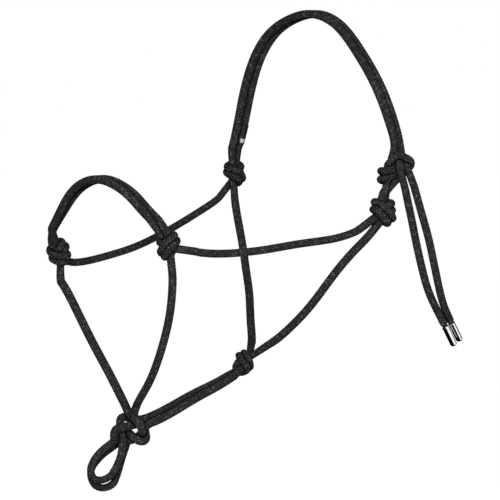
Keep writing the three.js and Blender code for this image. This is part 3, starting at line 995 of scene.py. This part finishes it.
STRANDS = {row: make_strand(row) for row, (name, _) in enumerate(RUN) if name not in KNOTS}
for row, strand in STRANDS.items():
    if row not in (0, LAST_ROW):
        declare_cord(row)

for knot in KNOTS:
    passes = [(BOUNDS[row], BOUNDS[row + 1]) for row, (name, _) in enumerate(RUN) if name == knot]
    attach(braided(knot, passes), "halter")


def lathe(name, profile, base, axis, around, materials):
    """A closed turned piece: profile is (radius, height) pairs from axis to axis."""
    spokes = wheel(axis, (1, 0, 0), around)
    rings = [base + radius * spokes + height * axis for radius, height in profile[1:-1]]
    hubs = [base + profile[0][1] * axis, base + profile[-1][1] * axis]
    quads, fans = tube_faces(len(rings), around, 0)
    return mesh_object(name, np.vstack(rings + [np.array(hubs)]), quads, fans, materials)


# ---------------- ferrules
FERRULE = 5.4 * MM  # outside diameter
FERRULE_WALL = 0.45 * MM
FERRULE_LENGTH = 18.5 * MM
FERRULE_GAP = 0.3 * MM  # from where the rope has narrowed
FERRULE_BORE_DEPTH = 5 * MM
FERRULE_LIP = 0.32 * MM  # radius of the rolled mouth,
FERRULE_FLARE = 0.08 * MM  # how far that stands out from the wall,
FERRULE_LIP_DEPTH = 0.6 * MM  # and how deep it reaches into the bore
FERRULE_ROUNDING = 1.5 * MM  # radius of the closed end's edge
FERRULE_POLE = 0.6 * MM  # radius of the flat in the middle of the end
FERRULE_AROUND = 64
FERRULE_ARC_STEPS = 9
AXIS_RINGS = 10  # rings of rope that give its direction


def arc(centre, radius, start, stop, steps):
    """(radius, height) points on an arc, its angles in degrees from the outward direction."""
    angles = np.radians(np.linspace(start, stop, steps))
    return [(centre[0] + radius * math.cos(a), centre[1] + radius * math.sin(a)) for a in angles]


def ferrule_profile():
    """From the floor of the bore, out over the rolled mouth, down the wall and round the end."""
    outer = FERRULE / 2
    inner = outer - FERRULE_WALL
    lip = FERRULE_LIP
    edge = FERRULE_ROUNDING
    bottom = FERRULE_LENGTH
    profile = [(0, FERRULE_BORE_DEPTH), (inner, FERRULE_BORE_DEPTH), (inner, FERRULE_LIP_DEPTH)]
    profile += arc((outer - lip + FERRULE_FLARE, lip), lip, 180, 360, FERRULE_ARC_STEPS)
    profile += [(outer, share * bottom) for share in (0.1, 0.3, 0.5, 0.7, 0.88)]
    profile += arc((outer - edge, bottom - edge), edge, 0, 82, FERRULE_ARC_STEPS)
    profile += [(FERRULE_POLE, bottom), (0, bottom)]
    return profile


def make_ferrule(side, mouth, axis):
    base = mouth + axis * FERRULE_GAP
    profile = ferrule_profile()
    obj = lathe(f"ferrule_{side}_cup", profile, base, axis, FERRULE_AROUND, [CHROME_FINISH])
    obj.data.shade_smooth()
    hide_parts(f"ferrule_{side}")
    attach(obj, f"{side}_tail")
    return obj


for side, row in (("front", 0), ("rear", LAST_ROW)):
    inside = round(TIP_LENGTH / RING_STEP)
    mouth_ring = inside if row == 0 else BOUNDS[-1] - inside
    outward = -1 if row == 0 else 1
    axis = unit(CENTRES[mouth_ring + outward * AXIS_RINGS] - CENTRES[mouth_ring])
    ferrule = make_ferrule(side, CENTRES[mouth_ring], axis)
    declare_cord(row)


# ---------------- label sleeve
SLEEVE_BORE = 6.7 * MM
SLEEVE_WALL = 0.4 * MM
SLEEVE_GRIP = 0.12 * MM  # how far the bore's wall is pressed into the rope
SLEEVE_LENGTH = 17 * MM
SLEEVE_TOP = 28 * MM  # from the crown's off end to the sleeve's far edge
SLEEVE_AROUND = 72
RIM_STEPS = 6
SEAM_AT = -0.7  # the moulding seam's direction, in radians round the sleeve,
SEAM_WIDTH = 0.06  # its half width, in radians,
SEAM_RISE = 0.025  # and its height, as a share of the radius
BAND_AT = (1.2 * MM, 4.8 * MM)
BAND_RISE = 0.14 * MM
BAND_EDGE = 0.1 * MM  # the length over which the band rises
BAND_FACES = 2.9  # the direction of the band's pale stretch, in radians round the sleeve
BAND_REACH = 0.55  # and how far it reaches to each side of that


def angle_from(angles, direction):
    """How far each angle is from a direction, from -pi to pi."""
    return np.angle(np.exp(1j * (angles - direction)))


def sleeve_profile():
    """(radius, height) pairs of a closed loop through the wall, and the places of the band's."""
    inner = SLEEVE_BORE / 2 - SLEEVE_GRIP
    outer = SLEEVE_BORE / 2 + SLEEVE_WALL
    rim = SLEEVE_WALL / 2
    far = SLEEVE_LENGTH - rim
    low, high = BAND_AT
    profile = [(inner, 0.45 * SLEEVE_LENGTH), (inner, rim)]
    profile += arc((inner + rim, rim), rim, 180, 270, RIM_STEPS)
    profile += arc((outer - rim, rim), rim, 280, 360, RIM_STEPS)
    profile += [(outer, 0.5 * (rim + low)), (outer, low)]
    band_first = len(profile) - 1
    profile += [(outer + BAND_RISE, low + BAND_EDGE), (outer + BAND_RISE, high - BAND_EDGE)]
    profile += [(outer, high)]
    band_last = len(profile) - 1
    profile += [(outer, high + (far - high) * share) for share in (0.2, 0.4, 0.6, 0.8)]
    profile += arc((outer - rim, far), rim, 0, 80, RIM_STEPS)
    profile += arc((inner + rim, far), rim, 90, 180, RIM_STEPS)
    profile += [(inner, 0.55 * SLEEVE_LENGTH)]
    return profile, slice(band_first, band_last)


def sleeve_ring(line, radius, height):
    """One ring round the strand, whose outside has the seam."""
    end = lengths_along(line)[-1]
    at = min(max(height, 0), end)
    place, before, beyond = at_lengths(line, [at, max(at - MM, 0), min(at + MM, end)])
    spread = np.full(SLEEVE_AROUND, radius)
    if radius > SLEEVE_BORE / 2 - SLEEVE_GRIP + SLEEVE_WALL / 2:
        beside_seam = angle_from(turn_angles(SLEEVE_AROUND), SEAM_AT) / SEAM_WIDTH
        spread *= 1 + SEAM_RISE * np.exp(-(beside_seam ** 2))
    return place + spread[:, None] * wheel(unit(beyond - before), (0, 1, 0), SLEEVE_AROUND)


def make_sleeve():
    """A rubber sleeve with rolled rims, a moulding seam and a raised band, pale on one side."""
    row = next(row for row, (name, _) in enumerate(RUN) if name == "crown_strand_rear")
    first = BOUNDS[row] + round((SLEEVE_TOP - SLEEVE_LENGTH) / RING_STEP)
    last = BOUNDS[row] + round(SLEEVE_TOP / RING_STEP)
    profile, band_rings = sleeve_profile()
    rings = [sleeve_ring(CENTRES[first:last + 1], radius, height) for radius, height in profile]
    ring = np.arange(len(rings))[:, None]
    here = np.arange(SLEEVE_AROUND)[None, :]
    after = (here + 1) % SLEEVE_AROUND
    start = ring * SLEEVE_AROUND
    next_start = (ring + 1) % len(rings) * SLEEVE_AROUND
    corners = (start + here, start + after, next_start + after, next_start + here)
    quads = np.stack(corners, -1).reshape(-1, 4)
    no_fans = np.zeros((0, 3), int)
    finishes = [SLEEVE_FINISH, BAND_FINISH]
    obj = mesh_object("crown_label_sleeve_tube", np.vstack(rings), quads, no_fans, finishes)
    pale = np.zeros((len(rings), SLEEVE_AROUND), np.int32)
    pale[band_rings, np.abs(angle_from(turn_angles(SLEEVE_AROUND), BAND_FACES)) < BAND_REACH] = 1
    obj.data.polygons.foreach_set("material_index", pale.ravel())
    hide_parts("crown_label_sleeve")
    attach(obj, "halter")


make_sleeve()

# ---------------- studio
FLOOR_DROP = 0.55  # from the halter's lowest point, in metres
FLOOR_RADIUS = 14.0
FLOOR_SIDES = 96


def staged(name, points, faces, material):
    """A piece of the studio."""
    mesh = bpy.data.meshes.new(name)
    mesh.from_pydata(points, [], faces)
    mesh.materials.append(material)
    obj = bpy.data.objects.new(name, mesh)
    bpy.context.scene.collection.objects.link(obj)
    return obj


def glowing_material(name, colour, strength):
    material, _, shader = new_material(name)
    shader.inputs["Base Color"].default_value = (*colour, 1)
    shader.inputs["Emission Color"].default_value = (1, 1, 1, 1)
    shader.inputs["Emission Strength"].default_value = strength
    return material, shader


def make_floor():
    """A white floor far below, which lights nothing and shows in no reflection."""
    centre = (cad_low + cad_high) / 2
    level = cad_low.z - FLOOR_DROP
    angle = turn_angles(FLOOR_SIDES)
    rim = np.stack((np.cos(angle), np.sin(angle)), 1) * FLOOR_RADIUS + (centre.x, centre.y)
    points = [(x, y, level) for x, y in rim]
    material, shader = glowing_material("pale_floor", (0.9, 0.9, 0.9), 1.0)
    shader.inputs["Roughness"].default_value = 0.9
    floor = staged("floor", points, [tuple(range(len(points)))], material)
    floor.visible_diffuse = False
    floor.visible_glossy = False


def make_light(name, azimuth, elevation, distance, size, power):
    data = bpy.data.lights.new(name, "AREA")
    data.shape = "DISK"
    data.size = size
    data.energy = power
    direction = away(math.radians(azimuth), math.radians(elevation))
    aimed(bpy.data.objects.new(name, data), VIEW_CENTRE + direction * distance, VIEW_CENTRE)


def make_world():
    """A white backdrop, which lights nothing and shows in no reflection."""
    world = bpy.data.worlds.new("studio")
    bpy.context.scene.world = world
    world.use_nodes = True
    background = world.node_tree.nodes["Background"]
    background.inputs["Color"].default_value = (1, 1, 1, 1)
    background.inputs["Strength"].default_value = 1.0
    world.cycles_visibility.diffuse = False
    world.cycles_visibility.glossy = False
    bpy.context.scene.view_settings.view_transform = "Standard"


REFLECTOR_FROM = 25  # azimuths that the reflector reaches, in degrees
REFLECTOR_TO = 145
REFLECTOR_RADIUS = 1.4
REFLECTOR_HEIGHT = 1.6
REFLECTOR_STEPS = 25
REFLECTOR_GLOW = 1.3


def make_reflector():
    """A bright curved card at the near side, which only the polished metal shows."""
    angles = np.radians(np.linspace(REFLECTOR_FROM, REFLECTOR_TO, REFLECTOR_STEPS))
    points = []
    for angle in angles:
        place = VIEW_CENTRE + away(angle, 0) * REFLECTOR_RADIUS
        for side in (-1, 1):
            points.append((place.x, place.y, place.z + side * REFLECTOR_HEIGHT / 2))
    faces = [(i, i + 1, i + 3, i + 2) for i in range(0, len(points) - 2, 2)]
    material, _ = glowing_material("white_card", (0, 0, 0), REFLECTOR_GLOW)
    card = staged("reflector", points, faces, material)
    card.visible_camera = False
    card.visible_diffuse = False
    card.visible_shadow = False
    card.visible_transmission = False


make_floor()
make_world()
make_reflector()
make_light("key", 45, 14, 2.6, 0.7, 48)
make_light("fill", 66, 0, 2.6, 0.7, 11)
make_light("back", 229, 12, 2.6, 0.8, 50)
